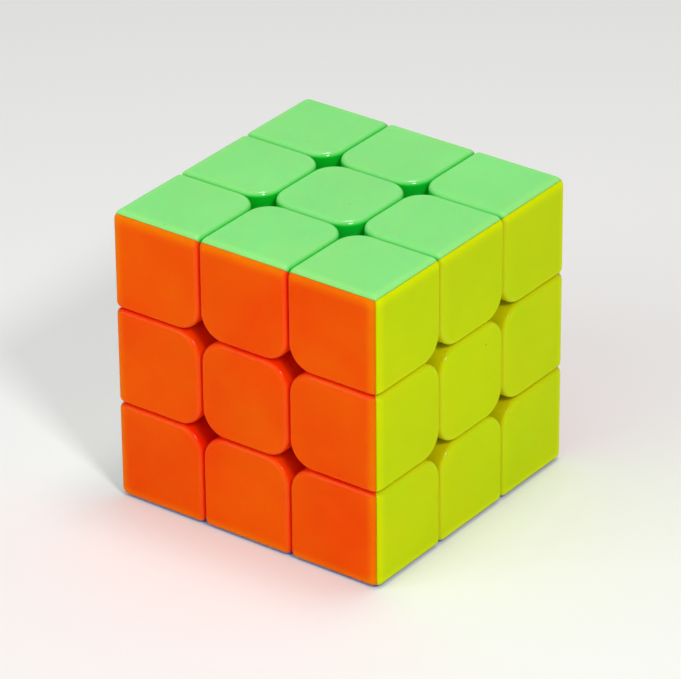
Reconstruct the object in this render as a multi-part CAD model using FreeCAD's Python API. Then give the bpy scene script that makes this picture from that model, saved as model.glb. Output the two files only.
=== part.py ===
"""Twisty puzzle cube, 3 x 3 x 3, stickerless.

Units are millimetres. The origin is the point where the three turning axes cross.
+Z is the top face, -Y the front face and +X the right face.

A six-armed core carries the six centres. Every corner and edge has a foot that is
trapped under its neighbours. Two neighbouring layers meet only on planes square to
the turning axes and on spheres about the origin, so any face can turn.

Each corner is three coloured shells and each edge is two, cut apart on the planes
that lie halfway between two axes, so a colour ends exactly on the cube's outer edge.
"""
import FreeCAD, Part
import math
import os

os.makedirs("parts", exist_ok=True)
Vector = FreeCAD.Vector

# Driving dimensions
SIDE = 56.0                 # cube, across two opposite faces
LAYER_GAP = 0.24            # play between two layers
SEAM_GAP = 0.04             # between the coloured shells of one cubie
TILE_CORNER_R = 4.8         # tile outline where four cubies meet
EDGE_R = 1.0                # roundover of a tile beside its neighbours
OUTER_R = 1.7               # roundover of the cube's outer edges and corners
WALL = 1.3                  # shells and caps

FOOT_PLANE = 6.5            # side planes of the feet, from the axes' planes
NECK_DEPTH = 2.6            # how far an edge's neck runs up into its body
CORE_R = 10.7               # ball of the core
FOOT_IN_R = 11.0            # inner end of the feet and stems
CAGE_R = 22.0               # sphere between the feet and what traps them

ARM_R = 4.0                 # round arm that a centre turns on
ARM_PLAY = 0.06             # radial running clearance on the arm
ARM_TIP = 15.0              # arm's end, from the origin
END_PLAY = 0.1              # arm's end to shelf, and each end of the spring
SHELF_T = 1.6               # floor of a centre, between arm and spring
WELL_R = 4.1                # screw well
BOSS_R = 5.3                # wall round the well

SCREW_R = 1.5
SCREW_HOLE_R = 1.75         # clearance hole in the shelf
PILOT_R = 1.53              # hole in the core's arm
PILOT_BOTTOM = 7.0
SCREW_TIP = 7.3
HEAD_R = 3.4
HEAD_BOTTOM = 22.6
HEAD_TOP = 24.1
HEAD_EDGE_R = 0.6
RECESS_LENGTH = 3.4         # cross recess in the head
RECESS_WIDTH = 0.7
RECESS_DEPTH = 1.0
WASHER_R = 3.6
WASHER_HOLE_R = 1.6
WASHER_T = 0.4
WASHER_PLAY = 0.05          # below the screw's head
SPRING_MEAN_R = 2.9
SPRING_WIRE_R = 0.32
SPRING_TURNS = 4.5
STEPS_A_TURN = 12           # straight runs of wire in one turn of a spring

CAP_SPLIT = 24.5            # centre base below, cap above
RIM_TOP = 26.5              # top of the base's rim and of the boss
RIM_T = 1.2
RIM_POCKET_BOTTOM = 23.3
CAP_FIT = 0.1               # cap on rim, all round and in depth
COLLAR_T = 0.8              # ring under the cap that enters the well
COLLAR_BOTTOM = 24.9

# Worked out from the driving dimensions
HALF = SIDE / 2
CUT_PLANE = SIDE / 6        # side planes of the middle layers, outside the cage sphere
GAP = LAYER_GAP / 2
REACH = 2 * SIDE            # longer than anything that it cuts
SHELF_BOTTOM = ARM_TIP + END_PLAY
SHELF_TOP = SHELF_BOTTOM + SHELF_T
WASHER_TOP = HEAD_BOTTOM - WASHER_PLAY
TOLERANCE = 1e-6            # for telling which edges lie on a plane

FACES = {
    "top": Vector(0, 0, 1),
    "bottom": Vector(0, 0, -1),
    "front": Vector(0, -1, 0),
    "back": Vector(0, 1, 0),
    "right": Vector(1, 0, 0),
    "left": Vector(-1, 0, 0),
}
HIDDEN_CORNER = ("bottom", "back", "left")


# Building blocks. Every cubie is first made in one place: a centre on +Z, an edge at
# (0, +, +) and a corner at (+, +, +). Its outward face is towards +Z.

def ball(radius):
    """Ball about the origin, with its poles on X and its seam on the -Z side."""
    sphere = Part.makeSphere(radius)
    sphere.rotate(Vector(), Vector(0, 1, 0), 90)
    return sphere


def rod(radius, bottom, top):
    """Round rod along +Z."""
    return Part.makeCylinder(radius, top - bottom, Vector(0, 0, bottom))


def box(low, high):
    """Box between two opposite corners."""
    size = high - low
    return Part.makeBox(size.x, size.y, size.z, low)


def tile_prism(low, high, radii, bottom, top):
    """Prism along +Z on a rectangle from low to high, both (x, y).

    radii holds the outline's four corner radii, anticlockwise from the low corner.
    """
    corners = [Vector(low[0], low[1]), Vector(high[0], low[1]),
               Vector(high[0], high[1]), Vector(low[0], high[1])]
    entries = []
    exits = []
    middles = []
    for index, corner in enumerate(corners):
        back = (corners[index - 1] - corner).normalize()
        ahead = (corners[(index + 1) % 4] - corner).normalize()
        radius = radii[index]
        entries.append(corner + back * radius)
        exits.append(corner + ahead * radius)
        middles.append(corner + (back + ahead) * radius * (1 - math.sqrt(0.5)))
    edges = []
    for index in range(4):
        if radii[index] > 0:
            arc = Part.Arc(entries[index], middles[index], exits[index])
            edges.append(arc.toShape())
        edges.append(Part.LineSegment(exits[index], entries[(index + 1) % 4]).toShape())
    face = Part.Face(Part.Wire(edges))
    face.translate(Vector(0, 0, bottom))
    return face.extrude(Vector(0, 0, top - bottom))


def turned(shape, axis, angle):
    """Copy of a shape turned about an axis through the origin, in degrees."""
    copy = shape.copy()
    copy.rotate(Vector(), axis, angle)
    return copy


def round_over(shape, radius, picks):
    """Round the edges of a shape that picks(edge) chooses."""
    return shape.makeFillet(radius, [edge for edge in shape.Edges if picks(edge)])


def lies_on(edge, normal, distance=HALF):
    """True if an edge lies on the plane at this distance along a normal."""
    return all(abs(vertex.Point.dot(normal) - distance) < TOLERANCE for vertex in edge.Vertexes)


def is_outer(edge):
    """True if an edge keeps to the cube's faces and the roundover between them."""
    points = [vertex.Point for vertex in edge.Vertexes]
    return all(max(point) > HALF - OUTER_R - TOLERANCE for point in points)


def half_space(normal, offset):
    """Everything beyond a plane through the origin moved along its normal by offset."""
    block = Part.makeBox(REACH, REACH, REACH, Vector(-REACH / 2, -REACH / 2, offset))
    block.Placement = FreeCAD.Placement(Vector(), FreeCAD.Rotation(Vector(0, 0, 1), normal))
    return block


def shell_ball(inner, outer):
    """Hollow ball between two radii."""
    return ball(outer).cut(ball(inner))


# Outer shape and cavity of the cubies. inset is 0 for the outside and WALL for the
# cavity, so that every wall has the same thickness.

def corner_body(inset):
    """Corner cubie with its foot, at (+, +, +)."""
    low = CUT_PLANE + GAP + inset
    high = HALF - inset
    prism = tile_prism((low, low), (high, high), (TILE_CORNER_R - inset, 0, 0, 0), low, high)
    diagonal = Vector(1, 1, 1)
    block = prism.common(turned(prism, diagonal, 120)).common(turned(prism, diagonal, 240))
    if inset == 0:
        faces = [Vector(1, 0, 0), Vector(0, 1, 0), Vector(0, 0, 1)]
        block = round_over(block, OUTER_R, lambda edge: sum(lies_on(edge, n) for n in faces) == 2)
        block = round_over(
            block, EDGE_R, lambda edge: is_outer(edge) and any(lies_on(edge, n, low) for n in faces))
    block = block.cut(ball(FOOT_IN_R + inset))
    side = FOOT_PLANE + GAP + inset
    foot = box(Vector(side, side, side), Vector(HALF, HALF, HALF))
    foot = foot.common(shell_ball(FOOT_IN_R + inset, CAGE_R - GAP - inset))
    return block.fuse(foot).removeSplitter()


def edge_body(inset):
    """Edge cubie with its foot, at (0, +, +)."""
    wide = CUT_PLANE - GAP - inset
    low = CUT_PLANE + GAP + inset
    high = HALF - inset
    radius = TILE_CORNER_R - inset
    prism = tile_prism((-wide, low), (wide, high), (radius, radius, 0, 0), low, high)
    block = prism.common(turned(prism, Vector(0, 1, 1), 180))
    if inset == 0:
        faces = [Vector(0, 1, 0), Vector(0, 0, 1)]
        ends = [Vector(1, 0, 0), Vector(-1, 0, 0)]
        block = round_over(block, OUTER_R, lambda edge: all(lies_on(edge, n) for n in faces))
        block = round_over(
            block, EDGE_R, lambda edge: is_outer(edge) and (
                any(lies_on(edge, n, low) for n in faces)
                or any(lies_on(edge, n, wide) for n in ends)))
    block = block.cut(ball(CAGE_R + GAP + inset))
    narrow = FOOT_PLANE - GAP - inset
    top = HALF - NECK_DEPTH
    neck = box(Vector(-narrow, low, low), Vector(narrow, top, top))
    neck = neck.common(shell_ball(FOOT_IN_R + inset, CAGE_R + NECK_DEPTH))
    side = FOOT_PLANE + GAP + inset
    foot = box(Vector(-narrow, side, side), Vector(narrow, HALF, HALF))
    foot = foot.common(shell_ball(FOOT_IN_R + inset, CAGE_R - GAP - inset))
    return block.fuse(neck).fuse(foot).removeSplitter()


def corner_third():
    """The shell of a corner whose face is towards +Z."""
    shell = corner_body(0).cut(corner_body(WALL))
    shell = shell.common(half_space(Vector(-1, 0, 1), SEAM_GAP / 2))
    return shell.common(half_space(Vector(0, -1, 1), SEAM_GAP / 2))


def edge_half():
    """The shell of an edge whose face is towards +Z."""
    shell = edge_body(0).cut(edge_body(WALL))
    return shell.common(half_space(Vector(0, -1, 1), SEAM_GAP / 2))


def centre_square(inset, bottom, top):
    """Prism on a centre's rounded square outline."""
    wide = CUT_PLANE - GAP - inset
    radius = TILE_CORNER_R - inset
    return tile_prism((-wide, -wide), (wide, wide), (radius,) * 4, bottom, top)


def centre_base():
    """Stem, plate, rim and screw well of a centre, on +Z."""
    side = FOOT_PLANE - GAP
    plate = centre_square(0, CUT_PLANE, CAP_SPLIT).cut(ball(CAGE_R + GAP))
    stem = box(Vector(-side, -side, FOOT_PLANE + GAP), Vector(side, side, CAP_SPLIT))
    stem = stem.cut(ball(FOOT_IN_R))
    rim_inset = WALL + CAP_FIT
    rim = centre_square(rim_inset, RIM_POCKET_BOTTOM, RIM_TOP)
    pocket = centre_square(rim_inset + RIM_T, RIM_POCKET_BOTTOM, RIM_TOP)
    pocket = pocket.cut(rod(BOSS_R, RIM_POCKET_BOTTOM, RIM_TOP))
    base = plate.fuse(stem).fuse(rim).cut(pocket)
    base = base.cut(rod(ARM_R + ARM_PLAY, 0, SHELF_BOTTOM))
    base = base.cut(rod(SCREW_HOLE_R, 0, HALF))
    return base.cut(rod(WELL_R, SHELF_TOP, HALF)).removeSplitter()


def centre_cap():
    """Coloured cap of a centre, on +Z, with the collar that holds it in the well."""
    cap = centre_square(0, CAP_SPLIT + CAP_FIT, HALF)
    cap = round_over(cap, EDGE_R, lambda edge: lies_on(edge, Vector(0, 0, 1)))
    underside = RIM_TOP + CAP_FIT
    cap = cap.cut(centre_square(WALL, CAP_SPLIT, underside))
    collar_r = WELL_R - CAP_FIT
    collar = rod(collar_r, COLLAR_BOTTOM, underside).cut(rod(collar_r - COLLAR_T, 0, underside))
    return cap.fuse(collar).removeSplitter()


def screw():
    """Pan-head screw with a cross recess, on +Z."""
    head = rod(HEAD_R, HEAD_BOTTOM, HEAD_TOP)
    head = round_over(head, HEAD_EDGE_R, lambda edge: lies_on(edge, Vector(0, 0, 1), HEAD_TOP))
    body = head.fuse(rod(SCREW_R, SCREW_TIP, HEAD_BOTTOM))
    floor = HEAD_TOP - RECESS_DEPTH
    for long_x, long_y in ((RECESS_LENGTH, RECESS_WIDTH), (RECESS_WIDTH, RECESS_LENGTH)):
        slot = box(Vector(-long_x / 2, -long_y / 2, floor), Vector(long_x / 2, long_y / 2, HALF))
        body = body.cut(slot)
    return body.removeSplitter()


def washer():
    """Flat washer between the spring and the screw's head, on +Z."""
    ring = rod(WASHER_R, WASHER_TOP - WASHER_T, WASHER_TOP)
    return ring.cut(rod(WASHER_HOLE_R, 0, HALF))


def spring():
    """Coil spring between the centre's shelf and the washer, on +Z, in short straight runs."""
    bottom = SHELF_TOP + END_PLAY + SPRING_WIRE_R
    top = WASHER_TOP - WASHER_T - END_PLAY - SPRING_WIRE_R
    steps = round(SPRING_TURNS * STEPS_A_TURN)
    points = []
    for step in range(steps + 1):
        angle = 2 * math.pi * step / STEPS_A_TURN
        height = bottom + (top - bottom) * step / steps
        across = Vector(SPRING_MEAN_R * math.cos(angle), SPRING_MEAN_R * math.sin(angle), 0)
        points.append(across + Vector(0, 0, height))
    section = Part.Wire(Part.makeCircle(SPRING_WIRE_R, points[0], points[1] - points[0]))
    as_solid = True
    square_to_path = False
    mitred = 1
    return Part.makePolygon(points).makePipeShell([section], as_solid, square_to_path, mitred)


# Placing

def placed(shape, outward, second):
    """Copy of a shape with +Z turned to outward, and +Y turned to second."""
    rotation = FreeCAD.Rotation(second.cross(outward), second, outward, "ZXY")
    copy = shape.copy()
    copy.Placement = FreeCAD.Placement(Vector(), rotation).multiply(copy.Placement)
    return copy


def any_square(direction):
    """A turning axis square to a direction that is itself along an axis."""
    return Vector(direction.y, direction.z, direction.x)


def placed_third(third, outward, others):
    """Corner shell with its face outward, between two other faces.

    The shell is its own mirror image, so either order of the others gives the same
    shape. The right-handed one is used.
    """
    first, second = others
    if first.cross(second).dot(outward) < 0:
        second = first
    return placed(third, outward, second)


def core():
    """Ball with an arm to each face, and a pilot hole in each arm."""
    body = ball(CORE_R)
    for outward in FACES.values():
        arm = rod(ARM_R, 0, ARM_TIP)
        body = body.fuse(placed(arm, outward, any_square(outward)))
    for outward in FACES.values():
        hole = rod(PILOT_R, PILOT_BOTTOM, HALF)
        body = body.cut(placed(hole, outward, any_square(outward)))
    return body.removeSplitter()


def core_hardware():
    """Screw, washer and spring of every face, as separate solids."""
    pieces = []
    for outward in FACES.values():
        for piece in (screw(), washer(), spring()):
            pieces.append(placed(piece, outward, any_square(outward)))
    return pieces


def write(node, solids):
    """Write one node, with one or more separate solids."""
    shape = solids[0] if len(solids) == 1 else Part.makeCompound(solids)
    volume = sum(solid.Volume for solid in solids)
    print(f"{node}: {len(shape.Solids)} solid(s), {volume / 1000:.2f} cm3, valid {shape.isValid()}")
    shape.exportStep(f"parts/{node}.step")


def neighbours():
    """The faces in three opposite pairs: upright, front to back, side to side."""
    names = list(FACES)
    return names[0:2], names[2:4], names[4:6]


def edge_slots():
    """The two faces of each of the twelve edges."""
    pairs = neighbours()
    for first in range(3):
        for second in range(first + 1, 3):
            for one in pairs[first]:
                for other in pairs[second]:
                    yield one, other


def corner_slots():
    """The three faces of each of the eight corners."""
    upright, depth, sideways = neighbours()
    for one in upright:
        for two in depth:
            for three in sideways:
                yield one, two, three


def main():
    write("core", [core()])
    write("core_hardware", core_hardware())

    base = centre_base()
    cap = centre_cap()
    for name, outward in FACES.items():
        write(f"centre_{name}_base", [placed(base, outward, any_square(outward))])
        write(f"centre_{name}_cap", [placed(cap, outward, any_square(outward))])

    half = edge_half()
    for slot in edge_slots():
        for name in slot:
            other = slot[1] if name == slot[0] else slot[0]
            shell = placed(half, FACES[name], FACES[other])
            write(f"edge_{slot[0]}_{slot[1]}_half_{name}", [shell])

    third = corner_third()
    for slot in corner_slots():
        shells = {}
        for name in slot:
            others = [FACES[other] for other in slot if other != name]
            shells[name] = placed_third(third, FACES[name], others)
        title = "corner_" + "_".join(slot)
        if slot == HIDDEN_CORNER:
            write(f"{title}_thirds", list(shells.values()))
        else:
            for name, shell in shells.items():
                write(f"{title}_third_{name}", [shell])


main()
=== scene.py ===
# %% [markdown]
# # A stickerless twisty puzzle cube
# The real cube has no stickers: every coloured patch is a solid piece of coloured ABS.
# A corner is three shells clipped together, an edge is two, and a centre is a base with
# a cap that lifts off its screw. This lesson models each kind of piece once, in
# millimetres, and then copies it to every place on the cube.
#
# The CAD model gives the sizes, the places and everything that moves. The cells below
# read them from the frame, so a new piece lands exactly where its CAD node is.

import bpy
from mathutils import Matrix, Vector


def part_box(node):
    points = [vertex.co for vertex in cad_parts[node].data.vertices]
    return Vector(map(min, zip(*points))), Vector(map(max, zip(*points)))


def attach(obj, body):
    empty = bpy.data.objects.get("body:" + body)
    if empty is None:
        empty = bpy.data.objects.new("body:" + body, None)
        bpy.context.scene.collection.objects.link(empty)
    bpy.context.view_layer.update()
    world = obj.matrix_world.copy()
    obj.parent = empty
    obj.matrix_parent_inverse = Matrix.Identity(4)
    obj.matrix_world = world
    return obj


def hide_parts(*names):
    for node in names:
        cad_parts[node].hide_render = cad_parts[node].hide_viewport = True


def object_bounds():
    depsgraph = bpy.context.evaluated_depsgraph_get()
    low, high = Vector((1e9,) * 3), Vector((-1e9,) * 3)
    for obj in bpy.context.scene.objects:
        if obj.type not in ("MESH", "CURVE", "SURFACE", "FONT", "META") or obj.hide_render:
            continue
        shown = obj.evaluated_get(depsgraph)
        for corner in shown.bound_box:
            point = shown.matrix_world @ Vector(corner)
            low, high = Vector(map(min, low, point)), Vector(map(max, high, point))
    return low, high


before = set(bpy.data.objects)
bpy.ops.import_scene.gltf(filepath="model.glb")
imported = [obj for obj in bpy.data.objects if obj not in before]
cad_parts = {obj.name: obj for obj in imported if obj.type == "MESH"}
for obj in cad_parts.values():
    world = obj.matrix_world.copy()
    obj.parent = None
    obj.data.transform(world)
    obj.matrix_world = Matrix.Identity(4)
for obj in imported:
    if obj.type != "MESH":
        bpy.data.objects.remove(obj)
cad_low, cad_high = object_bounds()
print("cube side", round((cad_high.x - cad_low.x) * 1000, 2), "mm")

# %% [markdown]
# ## Sizes
# The side planes of a layer lie a third of the side apart. The gap between two layers
# is read from a centre's cap, which is that much narrower than a third. The radii that
# the eye notices are the tile's corner, the roundover of its rim, the larger roundover
# of the cube's own edges, and the hairline chamfer where two colours meet.

# %% Sizes in millimetres
import math

import bmesh
import bpy
from mathutils import Matrix, Vector

MM = 0.001
HALF = cad_high.x / MM                           # half the side of the cube
CUT = HALF / 3                                   # where two layers part
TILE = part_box("centre_top_cap")[1].x / MM        # half the width of a centre
GAP = CUT - TILE
WALL = 1.3
CORNER_R = 4.8                                   # the tile's rounded corners
RIM_R = 1.0                                      # the roundover of a tile's rim
OUTER_R = 1.7                                    # the roundover of the cube's own edges
SEAM = 0.02                                      # half the gap where two colours meet
CHAMFER = 0.03
FOOT_SIDE = 6.5                                  # where a corner's foot and an edge's part
FOOT_IN = 11.0                                   # the hollow that the core sits in
CAGE = 22.0                                      # the ball that the feet keep inside
CORNER_STEPS, OUTER_STEPS, RIM_STEPS = 14, 9, 6  # facets of each rounding
print("tile", round(2 * TILE, 2), "mm, gap between layers", round(2 * GAP, 2), "mm")

FACES = {
    "top": Vector((0, 0, 1)),
    "bottom": Vector((0, 0, -1)),
    "front": Vector((0, -1, 0)),
    "back": Vector((0, 1, 0)),
    "right": Vector((1, 0, 0)),
    "left": Vector((-1, 0, 0)),
}

# %% [markdown]
# ## Tools for the hand
# Modelling by script is modelling by hand with the clicks written down. An operator acts
# on whatever is selected, so each helper first deselects everything, and edges and faces
# are picked by where they are, never by their number.


# %% Select, bevel and carve
def only(piece):
    """Select one object alone and make it active."""
    bpy.ops.object.select_all(action="DESELECT")
    piece.select_set(True)
    bpy.context.view_layer.objects.active = piece
    return piece


def choose(piece, kind, wanted):
    """Go into edit mode with only the wanted edges or faces selected."""
    only(piece)
    bpy.ops.object.mode_set(mode="EDIT")
    bpy.ops.mesh.select_mode(type=kind)
    bpy.ops.mesh.select_all(action="DESELECT")
    mesh = bmesh.from_edit_mesh(piece.data)
    for element in mesh.edges if kind == "EDGE" else mesh.faces:
        if wanted(element):
            element.select_set(True)
    bmesh.update_edit_mesh(piece.data)


def bevel(piece, wanted, width, steps):
    """Round the wanted edges with this radius."""
    choose(piece, "EDGE", wanted)
    bpy.ops.mesh.bevel(offset=width, segments=steps, affect="EDGES", clamp_overlap=False)
    bpy.ops.object.mode_set(mode="OBJECT")


def settle(piece):
    """Put the object's place, turn and size into its mesh."""
    only(piece)
    bpy.ops.object.transform_apply(location=True, rotation=True, scale=True)
    return piece


def block(low, high):
    """A cube stretched between two corners, ready for shaping."""
    low, high = Vector(low), Vector(high)
    bpy.ops.mesh.primitive_cube_add(size=1, location=(low + high) / 2, scale=high - low)
    return settle(bpy.context.object)


def ball(radius):
    """A fine ball about the cube's centre, for carving."""
    bpy.ops.mesh.primitive_uv_sphere_add(segments=160, ring_count=80, radius=radius)
    return settle(bpy.context.object)


def rod(radius, low, high, sides=72):
    """A round rod along Z."""
    middle = (0, 0, (low + high) / 2)
    bpy.ops.mesh.primitive_cylinder_add(
        vertices=sides, radius=radius, depth=high - low, location=middle)
    return settle(bpy.context.object)


def use_modifier(piece, kind, **settings):
    """Add a modifier, set it and apply it."""
    only(piece)
    modifier = piece.modifiers.new(kind.lower(), kind)
    for name, value in settings.items():
        setattr(modifier, name, value)
    bpy.ops.object.modifier_apply(modifier=modifier.name)


def carve(piece, operation, tool):
    """Join, subtract or intersect a tool body, then throw the tool away."""
    use_modifier(piece, "BOOLEAN", operation=operation, object=tool, solver="EXACT")
    bpy.data.objects.remove(tool)
    return piece


def keep_beyond(piece, normal, offset):
    """Saw a piece along a plane and keep the side that the normal points to."""
    only(piece)
    bpy.ops.object.mode_set(mode="EDIT")
    bpy.ops.mesh.select_all(action="SELECT")
    normal = Vector(normal).normalized()
    bpy.ops.mesh.bisect(
        plane_co=normal * offset, plane_no=normal, use_fill=True, clear_inner=True)
    bpy.ops.object.mode_set(mode="OBJECT")


def at(value, wanted):
    """True if two lengths are the same to a thousandth of a millimetre."""
    return abs(value - wanted) < 1e-3


def is_outer(edge):
    """True if an edge keeps to the cube's faces and the roundover between them."""
    return all(max(v.co) > HALF - OUTER_R - 0.01 for v in edge.verts)


def round_outside(piece):
    """Round the cube's own edges first, then the rim that runs round each tile."""

    def on_two_faces(edge):
        return sum(all(at(v.co[k], HALF) for v in edge.verts) for k in range(3)) == 2

    def on_rim(edge):
        return is_outer(edge) and edge.calc_face_angle(0) > math.radians(60)

    bevel(piece, on_two_faces, OUTER_R, OUTER_STEPS)
    bevel(piece, on_rim, RIM_R, RIM_STEPS)


def merge_flats(piece):
    """Dissolve the edges that carving leaves across a flat face."""
    only(piece)
    bpy.ops.object.mode_set(mode="EDIT")
    bpy.ops.mesh.select_all(action="SELECT")
    bpy.ops.mesh.dissolve_limited(angle_limit=math.radians(0.4))
    bpy.ops.object.mode_set(mode="OBJECT")


def finish_master(piece, name):
    """Clean a master piece, shade it and bring it from millimetres to metres."""
    only(piece)
    bpy.ops.object.mode_set(mode="EDIT")
    bpy.ops.mesh.select_all(action="SELECT")
    bpy.ops.mesh.remove_doubles(threshold=1e-4)
    bpy.ops.mesh.dissolve_degenerate(threshold=1e-4)
    bpy.ops.mesh.normals_make_consistent(inside=False)
    bpy.ops.object.mode_set(mode="OBJECT")
    piece.data.transform(Matrix.Scale(MM, 4))
    bpy.ops.object.shade_smooth_by_angle(angle=math.radians(35))
    use_modifier(piece, "WEIGHTED_NORMAL", mode="FACE_AREA", weight=100, keep_sharp=True)
    mesh = bmesh.new()
    mesh.from_mesh(piece.data)
    open_edges = sum(not edge.is_manifold for edge in mesh.edges)
    mesh.free()
    piece.name = name
    print(f"{name}: {len(piece.data.polygons)} faces, {open_edges} open edges")
    return piece


# %% [markdown]
# ## The corner
# A corner cubie is a cube with its three inner edges rounded by almost 5 mm, which makes
# the star-shaped openings where four cubies meet. Its outer faces have a 1 mm roundover.
# Below it sits a foot, a piece of a hollow ball with square sides, that the edges trap.
# The same function with an inset gives the cavity, so every wall is equally thick.


# %% Model the corner
def corner_solid(inset):
    """A corner cubie, or with an inset the cavity inside its walls."""
    low = CUT + GAP + inset
    high = HALF - inset
    body = block((low,) * 3, (high,) * 3)

    def runs_inside(edge):
        return sum(all(at(v.co[k], low) for v in edge.verts) for k in range(3)) == 2

    bevel(body, runs_inside, CORNER_R - inset, CORNER_STEPS)
    if inset == 0:
        round_outside(body)
    carve(body, "DIFFERENCE", ball(FOOT_IN + inset))
    foot = block((FOOT_SIDE + GAP + inset,) * 3, (HALF,) * 3)
    carve(foot, "INTERSECT", ball(CAGE - GAP - inset))
    carve(foot, "DIFFERENCE", ball(FOOT_IN + inset))
    return carve(body, "UNION", foot)


def chamfer_seam(piece, *sides):
    """Break the sharp outer edge where this shell's colour meets the next one."""

    def on_seam(edge):
        outside = all(v.co.z > HALF - OUTER_R - 0.1 for v in edge.verts)
        return outside and any(
            all(at(v.co.z - v.co[side], SEAM * math.sqrt(2)) for v in edge.verts)
            for side in sides)

    bevel(piece, on_seam, CHAMFER, 2)


corner_master = corner_solid(0)
carve(corner_master, "DIFFERENCE", corner_solid(WALL))
merge_flats(corner_master)
keep_beyond(corner_master, (-1, 0, 1), SEAM)
keep_beyond(corner_master, (0, -1, 1), SEAM)
chamfer_seam(corner_master, 0, 1)
finish_master(corner_master, "corner_master")

# %% [markdown]
# ## The edge
# An edge cubie is as wide as a centre. Only two of its outline's corners are rounded on
# each face, the ones that touch a star-shaped opening. A narrow neck joins it to its foot.


# %% Model the edge
def edge_solid(inset):
    """An edge cubie, or with an inset the cavity inside its walls."""
    wide = TILE - inset
    low = CUT + GAP + inset
    high = HALF - inset
    blocks = []
    for along, across in ((2, 1), (1, 2)):
        part = block((-wide, low, low), (wide, high, high))

        def runs_inside(edge):
            side = all(at(abs(v.co.x), wide) and at(v.co[across], low) for v in edge.verts)
            return side and not at(edge.verts[0].co[along], edge.verts[1].co[along])

        bevel(part, runs_inside, CORNER_R - inset, CORNER_STEPS)
        blocks.append(part)
    body = carve(blocks[0], "INTERSECT", blocks[1])
    merge_flats(body)

    if inset == 0:
        round_outside(body)
    carve(body, "DIFFERENCE", ball(CAGE + GAP + inset))
    narrow = FOOT_SIDE - GAP - inset
    neck_end = HALF - 2 * WALL
    neck = block((-narrow, low, low), (narrow, neck_end, neck_end))
    carve(neck, "INTERSECT", ball(CAGE + 2 * WALL))
    carve(neck, "DIFFERENCE", ball(FOOT_IN + inset))
    side = FOOT_SIDE + GAP + inset
    foot = block((-narrow, side, side), (narrow, HALF, HALF))
    carve(foot, "INTERSECT", ball(CAGE - GAP - inset))
    carve(foot, "DIFFERENCE", ball(FOOT_IN + inset))
    carve(body, "UNION", neck)
    return carve(body, "UNION", foot)


edge_master = edge_solid(0)
carve(edge_master, "DIFFERENCE", edge_solid(WALL))
merge_flats(edge_master)
keep_beyond(edge_master, (0, -1, 1), SEAM)
chamfer_seam(edge_master, 1)
finish_master(edge_master, "edge_master")

# %% [markdown]
# ## The centre cap
# The cap is a shallow square tray, upside down. A collar under it slips into the mouth of
# the screw well, and its skirt goes over the base's rim.


# %% Model the centre cap
CAP_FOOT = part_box("centre_top_cap")[0].z / MM
RIM_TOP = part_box("centre_top_base")[1].z / MM
FIT = 0.1                                # the clearance between two parts of a centre
WELL_R = 4.1
COLLAR_WALL = 0.8
COLLAR_RISE = 0.3                        # how far the collar stays above the skirt's foot
OVERLAP = 0.5                            # how far two bodies that are joined overlap


def centre_prism(inset, low, high):
    """A prism on the centre's rounded square outline."""
    wide = TILE - inset
    body = block((-wide, -wide, low), (wide, wide, high))

    def upright(edge):
        return not at(edge.verts[0].co.z, edge.verts[1].co.z)

    bevel(body, upright, CORNER_R - inset, CORNER_STEPS)
    return body


cap_master = centre_prism(0, CAP_FOOT, HALF)
bevel(cap_master, lambda edge: all(at(v.co.z, HALF) for v in edge.verts), RIM_R, RIM_STEPS)
carve(cap_master, "DIFFERENCE", centre_prism(WALL, CAP_FOOT - 1, RIM_TOP + FIT))
collar = rod(WELL_R - FIT, CAP_FOOT + COLLAR_RISE, RIM_TOP + FIT + OVERLAP)
carve(collar, "DIFFERENCE", rod(WELL_R - FIT - COLLAR_WALL, CAP_FOOT - 1, HALF))
carve(cap_master, "UNION", collar)
merge_flats(cap_master)
finish_master(cap_master, "cap_master")

# %% [markdown]
# ## The centre base
# The base is the part of a centre that stays on its screw. A square stem turns on the
# core's arm, a plate traps the edges' feet, and the cap sits over a raised rim. A round
# boss holds the screw well, with a shelf across it that the spring presses on. It is
# built as it would be drawn: plate, stem and rim joined, then pocket and bores cut out.

# %% Model the centre base
SPLIT = CAP_FOOT - FIT                   # where the base ends and the cap begins
ARM_R = 4.0
ARM_PLAY = 0.06
ARM_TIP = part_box("core")[1].z / MM
SHELF_TOP = ARM_TIP + FIT + 1.6          # the shelf is 1.6 mm thick
STEM = FOOT_SIDE - GAP
POCKET = 23.3                            # the floor of the pocket round the boss
RIM_T = 1.2
BOSS_R = 5.3
SCREW_HOLE_R = 1.75
BASE_BREAK = 0.15                        # how far the base's sharp edges are broken

base_master = centre_prism(0, CUT, SPLIT)
carve(base_master, "DIFFERENCE", ball(CAGE + GAP))
stem = block((-STEM, -STEM, FOOT_SIDE + GAP), (STEM, STEM, SPLIT - 1))
carve(base_master, "UNION", carve(stem, "DIFFERENCE", ball(FOOT_IN)))
carve(base_master, "UNION", centre_prism(WALL + FIT, POCKET, RIM_TOP))
pocket = centre_prism(WALL + FIT + RIM_T, POCKET, RIM_TOP + 1)
carve(pocket, "DIFFERENCE", rod(BOSS_R, POCKET - 1, HALF))
carve(base_master, "DIFFERENCE", pocket)
carve(base_master, "DIFFERENCE", rod(ARM_R + ARM_PLAY, 0, ARM_TIP + FIT))
carve(base_master, "DIFFERENCE", rod(SCREW_HOLE_R, 0, HALF, 48))
carve(base_master, "DIFFERENCE", rod(WELL_R, SHELF_TOP, HALF))
merge_flats(base_master)
for height in (RIM_TOP, SPLIT):
    bevel(base_master, lambda edge: edge.calc_face_angle_signed(0) > 1 and all(
        at(v.co.z, height) for v in edge.verts), BASE_BREAK, 2)
finish_master(base_master, "base_master")

# %% [markdown]
# ## The core
# One moulded ball with six round arms, and a blind pilot hole down each arm for its
# self-tapping screw. Three long rods through the ball make the six arms, with their ends
# chamfered so that a base slides on easily.


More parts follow.
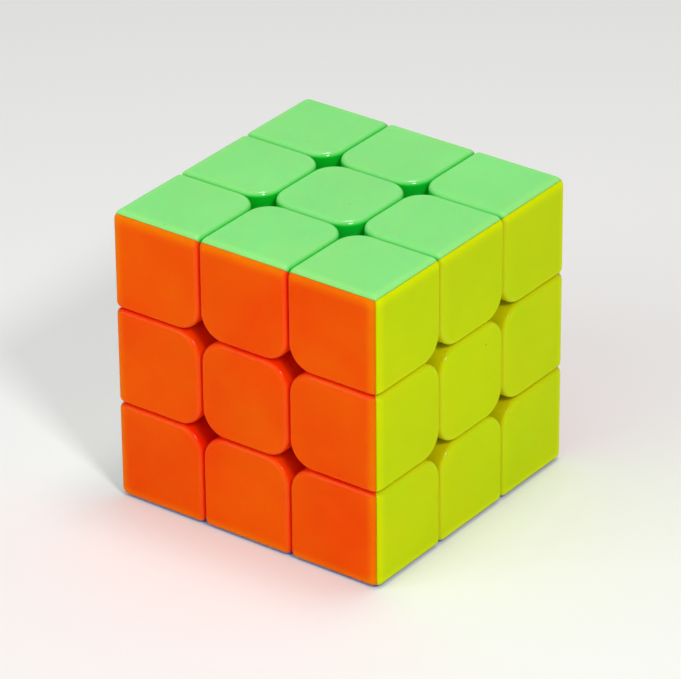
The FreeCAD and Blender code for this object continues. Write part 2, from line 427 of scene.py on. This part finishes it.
# %% Model the core
CORE_R = 10.7
ARM_CHAMFER = 0.3
PILOT_R = 1.53
PILOT_END = 7.0                          # how near the holes come to the core's middle


def turn_to(outward, second):
    """The turn that takes +Z to one direction and +Y to another."""
    return Matrix((second.cross(outward), second, outward)).transposed().to_4x4()


core_master = ball(CORE_R)
for outward in (FACES["top"], FACES["back"], FACES["right"]):
    arms = rod(ARM_R, -ARM_TIP, ARM_TIP)
    bevel(arms, lambda edge: at(edge.verts[0].co.z, edge.verts[1].co.z), ARM_CHAMFER, 2)
    arms.data.transform(turn_to(outward, outward.yzx))
    carve(core_master, "UNION", arms)
for outward in FACES.values():
    pilot = rod(PILOT_R, PILOT_END, HALF, 40)
    pilot.data.transform(turn_to(outward, outward.yzx))
    carve(core_master, "DIFFERENCE", pilot)
merge_flats(core_master)
finish_master(core_master, "core_master")

# %% [markdown]
# ## Screw, washer and spring
# Each centre is held by a pan-head screw with a cross recess, a flat washer under the
# head and a coil spring that lets the layers give a little. A coil is a small section
# swept up a helix by the Screw modifier: round wire for the spring, and a pointed tool
# that cuts the screw's thread.

# %% Sizes of the screw, the washer and the spring
HEAD_LOW = 22.6
HEAD_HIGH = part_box("core_hardware")[1].z / MM
HEAD_R = 3.4
HEAD_EDGE_R = 0.6
SCREW_R = 1.5
SCREW_TIP = 7.3
TIP_CHAMFER = 0.4
THREAD_R = 0.4                           # the radius of the thread's pointed section
THREAD_LOW, THREAD_HIGH = SCREW_TIP - 0.5, 15.6
THREAD_TURNS = 11                        # which gives a pitch of 0.8 mm
CROSS_LONG, CROSS_WIDE, CROSS_DEEP = 1.7, 0.35, 1.0
WASHER_HIGH = HEAD_LOW - 0.05            # it lies 0.05 mm under the head
WASHER_LOW = WASHER_HIGH - 0.4
WASHER_R, WASHER_HOLE_R = 3.6, 1.6
WASHER_BREAK = 0.08
WIRE_R = 0.32
SPRING_R = 2.9
SPRING_TURNS = 4.5
print("screw", round(HEAD_HIGH - SCREW_TIP, 2), "mm long")


# %% Model the screw, the washer and the spring
def coil(section_r, sides, mean_r, low, high, turns):
    """Sweep a section up a helix about Z and close both of its ends."""
    bpy.ops.mesh.primitive_circle_add(
        vertices=sides, radius=section_r, location=(mean_r, 0, low),
        rotation=(math.pi / 2, 0, 0))
    swept = settle(bpy.context.object)
    steps = round(turns * 32)
    use_modifier(swept, "SCREW", axis="Z", angle=turns * 2 * math.pi,
                 screw_offset=high - low, steps=steps, render_steps=steps)
    only(swept)
    bpy.ops.object.mode_set(mode="EDIT")
    bpy.ops.mesh.select_all(action="SELECT")
    bpy.ops.mesh.fill_holes(sides=0)
    bpy.ops.mesh.normals_make_consistent(inside=False)
    bpy.ops.object.mode_set(mode="OBJECT")
    return swept


def ends_at(height):
    """Pick the edges that lie at one height."""
    return lambda edge: all(at(v.co.z, height) for v in edge.verts)


screw_master = rod(HEAD_R, HEAD_LOW, HEAD_HIGH)
bevel(screw_master, ends_at(HEAD_HIGH), HEAD_EDGE_R, 5)
shank = rod(SCREW_R, SCREW_TIP, HEAD_LOW + OVERLAP, 48)
bevel(shank, ends_at(SCREW_TIP), TIP_CHAMFER, 1)
carve(shank, "DIFFERENCE", coil(
    THREAD_R, 3, SCREW_R + 0.12, THREAD_LOW, THREAD_HIGH, THREAD_TURNS))
carve(screw_master, "UNION", shank)
for long_x, long_y in ((CROSS_LONG, CROSS_WIDE), (CROSS_WIDE, CROSS_LONG)):
    slot_low = (-long_x, -long_y, HEAD_HIGH - CROSS_DEEP)
    carve(screw_master, "DIFFERENCE", block(slot_low, (long_x, long_y, HALF)))
finish_master(screw_master, "screw_master")

washer_master = rod(WASHER_R, WASHER_LOW, WASHER_HIGH)
carve(washer_master, "DIFFERENCE", rod(WASHER_HOLE_R, WASHER_LOW - 1, HALF, 48))
bevel(washer_master, lambda edge: edge.calc_face_angle_signed(0) > 1, WASHER_BREAK, 2)
finish_master(washer_master, "washer_master")

spring_master = coil(WIRE_R, 14, SPRING_R, SHELF_TOP + FIT + WIRE_R,
                     WASHER_LOW - FIT - WIRE_R, SPRING_TURNS)
finish_master(spring_master, "spring_master")

# %% [markdown]
# ## Copies
# Each master points its outward side to +Z. A copy is turned so that +Z goes to its own
# face and +Y to a second face of its cubie. Each copy gets its own mesh, because its
# place is in its mesh, and it then rides on the body of its cubie.


def place(master, name, outward, second, body, node):
    """Copy a master to one face of the cube and let it stand for its CAD node."""
    piece = master.copy()
    piece.data = master.data.copy()
    piece.data.transform(turn_to(outward, second))
    piece.name = name
    piece.data.name = name
    bpy.context.collection.objects.link(piece)
    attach(piece, body)
    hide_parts(node)
    return piece


coloured = {face: [] for face in FACES}
for face, outward in FACES.items():
    for master, kind, body in ((cap_master, "cap", f"cap_{face}"),
                               (base_master, "base", f"centre_{face}")):
        coloured[face].append(place(
            master, f"{kind}_{face}", outward, outward.yzx, body,
            f"centre_{face}_{kind}"))
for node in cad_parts:
    if "_half_" in node:
        cubie, face = node.split("_half_")
        other = [name for name in cubie.split("_")[1:] if name != face][0]
        coloured[face].append(place(
            edge_master, f"{cubie}_{face}_shell", FACES[face], FACES[other], cubie,
            node))
    if "_third" in node:
        cubie = node.split("_third")[0]
        corner = cubie.split("_")[1:]
        for face in corner if node.endswith("_thirds") else [node.split("_third_")[1]]:
            first, second = [FACES[name] for name in corner if name != face]
            if second.cross(FACES[face]).dot(first) < 0:
                second = first
            coloured[face].append(place(
                corner_master, f"{cubie}_{face}_shell", FACES[face], second, cubie,
                node))
inner = place(core_master, "core_ball", FACES["top"], FACES["back"],
              "core", "core")
hardware = [
    place(master, f"{kind}_{face}", outward, outward.yzx, "core", "core_hardware")
    for master, kind in ((screw_master, "screw"), (washer_master, "washer"),
                         (spring_master, "spring"))
    for face, outward in FACES.items()]
for master in (corner_master, edge_master, cap_master, base_master, core_master,
               screw_master, washer_master, spring_master):
    bpy.data.objects.remove(master)
print({face: len(pieces) for face, pieces in coloured.items()}, "coloured pieces")
print(len(hardware), "steel pieces")

# %% [markdown]
# ## Colours and nodes
# A colour is written as the sRGB hex value that a paint program shows, and Blender's
# shaders want it linear, so one function turns it. Another adds a node together with its
# settings and links, which keeps a material's recipe short enough to read.


# %% Colours and nodes
def linear(code):
    """An sRGB hex colour as linear red, green, blue and alpha."""
    parts = [int(code[k:k + 2], 16) / 255 for k in (1, 3, 5)]
    return [c / 12.92 if c < 0.04045 else ((c + 0.055) / 1.055) ** 2.4 for c in parts] + [1]


def add(tree, kind, settings=None, links=None):
    """Add a node, set its sockets or properties, and link earlier nodes to it.

    A socket is given by its name, or by its number where two share a name.
    """
    node = tree.nodes.new(kind)
    for name, value in (settings or {}).items():
        if isinstance(name, int) or name in node.inputs:
            node.inputs[name].default_value = value
        else:
            setattr(node, name, value)
    for name, source in (links or {}).items():
        tree.links.new(source.outputs[0] if hasattr(source, "outputs") else source,
                       node.inputs[name])
    return node


def new_material(name):
    """A material with its node tree, its shader and the coordinates of the piece."""
    material = bpy.data.materials.new(name)
    material.use_nodes = True
    tree = material.node_tree
    on_piece = add(tree, "ShaderNodeTexCoord").outputs["Object"]
    return material, tree, tree.nodes["Principled BSDF"], on_piece


def wear(pieces, material):
    """Give each of some pieces one material all over."""
    for piece in pieces:
        piece.data.materials.clear()
        piece.data.materials.append(material)
    print(len(pieces), "pieces of", material.name)


# %% [markdown]
# ## Moulded ABS
# The cube is moulded in solid-coloured ABS. Only its outer skin is frosted, by a fine
# spark-eroded texture in the mould, which scatters light and makes the tiles look satin.
# The rims and walls between the tiles are polished, so they are glossy. One material does
# both: it asks how near a point is to the rounded skin of the cube and blends the two
# finishes. The same blend paints light into the colour. The tiles get a pale colour with a
# painted sheen, and the walls between them get a deep, saturated colour that is painted
# shade and bounce light of the grooves. A lighter band near the cube's edges is a painted
# highlight. Each colour has a name, the pale, the deep and the lighter edge colour, how
# much its rims gleam and how far its hue drifts.

# %% The colours and the plastic
COLOURS = {
    # each row: name, pale skin colour with a painted sheen, groove colour with painted shade
    # and bounce light, edge colour with a painted highlight, gleam, hue drift
    "top": ("frosted green ABS", "#85DE7D", "#0DCC30", "#92E47E", 0.75, 0.005),
    "bottom": ("frosted blue ABS", "#2058CE", "#0A34B4", "#1A4AB4", 0.3, 0.005),
    "front": ("frosted orange ABS", "#F25500", "#FF3A00", "#FA7C00", 0.18, 0.005),
    "back": ("frosted red ABS", "#CC2226", "#A80A0E", "#DA3030", 0.3, 0.005),
    "right": ("frosted yellow ABS", "#C5DA00", "#DAD600", "#D6E600", 0.2, 0.012),
    "left": ("frosted white ABS", "#EEEEEA", "#D8D9D3", "#F4F4F0", 0.6, 0.005),
}
# the lighter colour near the cube's edges is a painted highlight on the roundover
PAINTED_HIGHLIGHT_REACH = 3.0             # mm, how near to another face the colour begins to grow lighter
# below the skin the colour turns deep: painted shade and bounce light of the grooves between
# tiles
FROSTED = 0.15          # mm below the skin, where the frosted colour begins to give way
POLISHED = 0.75         # mm below the skin, where only the polished colour is left
CLEAR = (0.10, 0.03)    # mm below the skin, where the gloss is full and where it is gone
PIGMENT = 18.0          # mm, how far apart the pigment is uneven
DUST = 7.0              # mm, how far apart the grains of dust are


def past_box(tree, folded, depth):
    """How far a point is outside a box that lies this deep under the cube's faces."""
    inset = add(tree, "ShaderNodeVectorMath",
                {"operation": "SUBTRACT", 1: [(HALF - depth) * MM] * 3}, {0: folded})
    outside = add(tree, "ShaderNodeVectorMath",
                  {"operation": "MAXIMUM", 1: [0, 0, 0]}, {0: inset})
    return add(tree, "ShaderNodeVectorMath", {"operation": "LENGTH"},
               {0: outside}).outputs["Value"]


def frosted_abs(name, frosted, groove_colour_with_painted_shade, painted_edge_highlight, gleam, drift):
    """Moulded ABS, frosted on the cube's outer skin and smooth and glossy everywhere else, with
    painted shade in its grooves.
    """
    material, tree, shader, on_piece = new_material(name)
    folded = add(tree, "ShaderNodeVectorMath", {"operation": "ABSOLUTE"}, {0: on_piece})
    reach = past_box(tree, folded, OUTER_R)
    skin = add(tree, "ShaderNodeMapRange",
               {"From Min": (OUTER_R - POLISHED) * MM, "From Max": (OUTER_R - FROSTED) * MM},
               {"Value": reach})

    # the colour is lighter towards the cube's edges: a painted highlight where the rounded
    # edges catch the light from above
    painted_highlight_mask = add(tree, "ShaderNodeMapRange",
              {"From Min": 1.01 * PAINTED_HIGHLIGHT_REACH * MM, "From Max": 1.22 * PAINTED_HIGHLIGHT_REACH * MM},
              {"Value": past_box(tree, folded, PAINTED_HIGHLIGHT_REACH)})
    outer = add(tree, "ShaderNodeMix",
                {"data_type": "RGBA", 6: linear(frosted), 7: linear(painted_edge_highlight)}, {0: painted_highlight_mask})
    # deep in the grooves the colour is painted shade and bounce light; on the skin it is a pale
    # colour with a painted sheen
    colour = add(tree, "ShaderNodeMix",
                 {"data_type": "RGBA", 6: linear(groove_colour_with_painted_shade)}, {0: skin, 7: outer.outputs[2]})

    # the pigment is a little uneven, over a distance of about a tile
    flow = add(tree, "ShaderNodeTexNoise", {"Scale": 1 / (PIGMENT * MM), "Detail": 3.0},
               {"Vector": on_piece})
    shade = add(tree, "ShaderNodeMapRange",
                {"From Min": 0.3, "From Max": 0.7, "To Min": 0.965, "To Max": 1.035},
                {"Value": flow})
    tint = add(tree, "ShaderNodeMapRange",
               {"From Min": 0.3, "From Max": 0.7, "To Min": 0.5 - drift, "To Max": 0.5 + drift},
               {"Value": flow.outputs["Color"]})
    uneven = add(tree, "ShaderNodeHueSaturation", {},
                 {"Color": colour.outputs[2], "Value": shade, "Hue": tint})

    # a few grains of dust, drawn 0.2 mm across so that they show
    dust = add(tree, "ShaderNodeTexVoronoi", {"Scale": 1 / (DUST * MM)}, {"Vector": on_piece})
    speck = add(tree, "ShaderNodeMapRange", {"From Min": 0.010, "From Max": 0.018},
                {"Value": dust.outputs["Distance"]})
    dusty = add(tree, "ShaderNodeMix", {"data_type": "RGBA", 6: linear("#3A3A20")},
                {0: speck, 7: uneven})
    tree.links.new(dusty.outputs[2], shader.inputs["Base Color"])

    # the frosting's real grain is under 0.1 mm, drawn at 0.3 mm so that it shows
    grain = add(tree, "ShaderNodeTexNoise", {"Scale": 1 / (0.3 * MM), "Detail": 2.0},
                {"Vector": on_piece})
    rough = add(tree, "ShaderNodeMath", {"operation": "MULTIPLY", 1: 0.3}, {0: skin})
    bump = add(tree, "ShaderNodeBump", {"Distance": 0.02 * MM},
               {"Height": grain, "Strength": rough})
    tree.links.new(bump.outputs["Normal"], shader.inputs["Normal"])
    sheen = add(tree, "ShaderNodeMapRange", {"To Min": 0.36, "To Max": 0.50}, {"Value": flow})
    gloss = add(tree, "ShaderNodeMapRange", {"To Min": 0.16}, {"Value": skin, "To Max": sheen})
    tree.links.new(gloss.outputs["Result"], shader.inputs["Roughness"])
    shader.inputs["IOR"].default_value = 1.54
    shader.inputs["Specular IOR Level"].default_value = 0.02

    # the polished rims have a clear gloss that the frosted skin hasn't
    clear = add(tree, "ShaderNodeMapRange",
                {"From Min": (OUTER_R - CLEAR[0]) * MM, "From Max": (OUTER_R - CLEAR[1]) * MM,
                 "To Min": gleam, "To Max": 0.0}, {"Value": reach})
    tree.links.new(clear.outputs["Result"], shader.inputs["Coat Weight"])
    shader.inputs["Coat Roughness"].default_value = 0.14
    shader.inputs["Coat IOR"].default_value = 1.6

    # light goes a millimetre or two into the plastic and comes out more saturated
    shader.inputs["Subsurface Weight"].default_value = 0.5
    shader.inputs["Subsurface Radius"].default_value = linear(groove_colour_with_painted_shade)[:3]
    shader.inputs["Subsurface Scale"].default_value = 2 * MM
    return material


for face, pieces in coloured.items():
    wear(pieces, frosted_abs(*COLOURS[face]))

# %% [markdown]
# ## The hidden finishes
# The core is black ABS with a plain matt moulded surface. The screws, washers and springs
# are zinc-plated steel: a metal, bluish grey, fairly smooth, with a faint crystal mottle
# in the plating that makes its gloss uneven.


# %% Black core and zinc-plated steel
def matt_abs(name, light, dark):
    """Plain moulded ABS straight from a lightly textured mould."""
    material, tree, shader, on_piece = new_material(name)
    flow = add(tree, "ShaderNodeTexNoise", {"Scale": 1 / (6 * MM), "Detail": 2.0},
               {"Vector": on_piece})
    colour = add(tree, "ShaderNodeMix",
                 {"data_type": "RGBA", 6: linear(dark), 7: linear(light)}, {0: flow})
    grain = add(tree, "ShaderNodeTexNoise", {"Scale": 1 / (0.4 * MM), "Detail": 3.0},
                {"Vector": on_piece})
    bump = add(tree, "ShaderNodeBump", {"Strength": 0.2, "Distance": 0.03 * MM},
               {"Height": grain})
    gloss = add(tree, "ShaderNodeMapRange", {"To Min": 0.42, "To Max": 0.60}, {"Value": grain})
    tree.links.new(bump.outputs["Normal"], shader.inputs["Normal"])
    tree.links.new(gloss.outputs["Result"], shader.inputs["Roughness"])
    tree.links.new(colour.outputs[2], shader.inputs["Base Color"])
    shader.inputs["IOR"].default_value = 1.54
    return material


def zinc_plated_steel(name, light, dark):
    """Bright zinc plating with a faint mottle of crystals, 0.8 mm across."""
    material, tree, shader, on_piece = new_material(name)
    mottle = add(tree, "ShaderNodeTexVoronoi", {"Scale": 1 / (0.8 * MM)}, {"Vector": on_piece})
    colour = add(tree, "ShaderNodeMix",
                 {"data_type": "RGBA", 6: linear(dark), 7: linear(light)},
                 {0: mottle.outputs["Distance"]})
    gloss = add(tree, "ShaderNodeMapRange", {"To Min": 0.22, "To Max": 0.38},
                {"Value": mottle.outputs["Distance"]})
    tree.links.new(colour.outputs[2], shader.inputs["Base Color"])
    tree.links.new(gloss.outputs["Result"], shader.inputs["Roughness"])
    shader.inputs["Metallic"].default_value = 1.0
    return material


wear([inner], matt_abs("matt black ABS", "#1E1E22", "#101013"))
wear(hardware, zinc_plated_steel("zinc-plated steel", "#D2D4D8", "#B4B8C0"))

# %% [markdown]
# ## Floor and light
# A plain pale floor and three square lamps. The ones overhead and at the side are small
# and bright, so they make the short gleams on the rims. The one in front is large and soft.

# %% Floor and light
bpy.ops.mesh.primitive_plane_add(size=6, location=(0, 0, cad_low.z))
floor = bpy.context.object
floor.name = "floor"
paper = bpy.data.materials.new("matt white paper")
paper.use_nodes = True
surface = paper.node_tree.nodes["Principled BSDF"]
surface.inputs["Base Color"].default_value = linear("#F2F2F0")
surface.inputs["Roughness"].default_value = 0.9
wear([floor], paper)

world = bpy.data.worlds.new("studio")
bpy.context.scene.world = world
world.use_nodes = True
sky = world.node_tree.nodes["Background"]
sky.inputs["Color"].default_value = (1, 1, 1, 1)
sky.inputs["Strength"].default_value = 0.42


def softbox(name, place_at, size, power):
    """A square lamp that looks at the cube, in metres and watts."""
    lamp = bpy.data.lights.new(name, "AREA")
    lamp.size = size
    lamp.energy = power
    light = bpy.data.objects.new(name, lamp)
    light.location = place_at
    light.rotation_euler = (-Vector(place_at)).to_track_quat("-Z", "Y").to_euler()
    bpy.context.collection.objects.link(light)


softbox("overhead", (0.04, 0.06, 0.60), 0.16, 0.95)
softbox("side", (0.42, -0.24, 0.46), 0.10, 1.6)
softbox("front", (-0.22, -0.56, 0.36), 0.50, 1.3)
print(len(bpy.data.lights), "lamps")

# %% [markdown]
# ## Camera
# The camera looks down at the corner between the front and the right. It is far away and
# has a long lens, so the cube's upright edges stay nearly parallel. Its turn is kept as a
# quaternion, because the slight roll is about the camera's own line of sight.

# %% Camera
AZIMUTH = math.radians(36.6)      # round from the front towards the right
ELEVATION = math.radians(28.5)
ROLL = math.radians(-0.5)
DISTANCE = 0.837                  # metres from the cube's centre
AIM = (-0.12 * MM, -0.47 * MM, 0)  # where the lens points, beside the cube's centre
back = Vector((math.sin(AZIMUTH) * math.cos(ELEVATION),
               -math.cos(AZIMUTH) * math.cos(ELEVATION),
               math.sin(ELEVATION)))
lens = bpy.data.cameras.new("camera")
lens.lens = 254.4
lens.sensor_width = 36
camera = bpy.data.objects.new("camera", lens)
camera.rotation_mode = "QUATERNION"
straight = (-back).to_track_quat("-Z", "Y")
camera.rotation_quaternion = straight @ Matrix.Rotation(ROLL, 3, "Z").to_quaternion()
aim = camera.rotation_quaternion @ Vector(AIM)
camera.location = back * DISTANCE + aim
bpy.context.collection.objects.link(camera)
bpy.context.scene.camera = camera
bpy.context.scene.view_settings.view_transform = "Standard"
print("camera", [round(value, 3) for value in camera.location], "m")
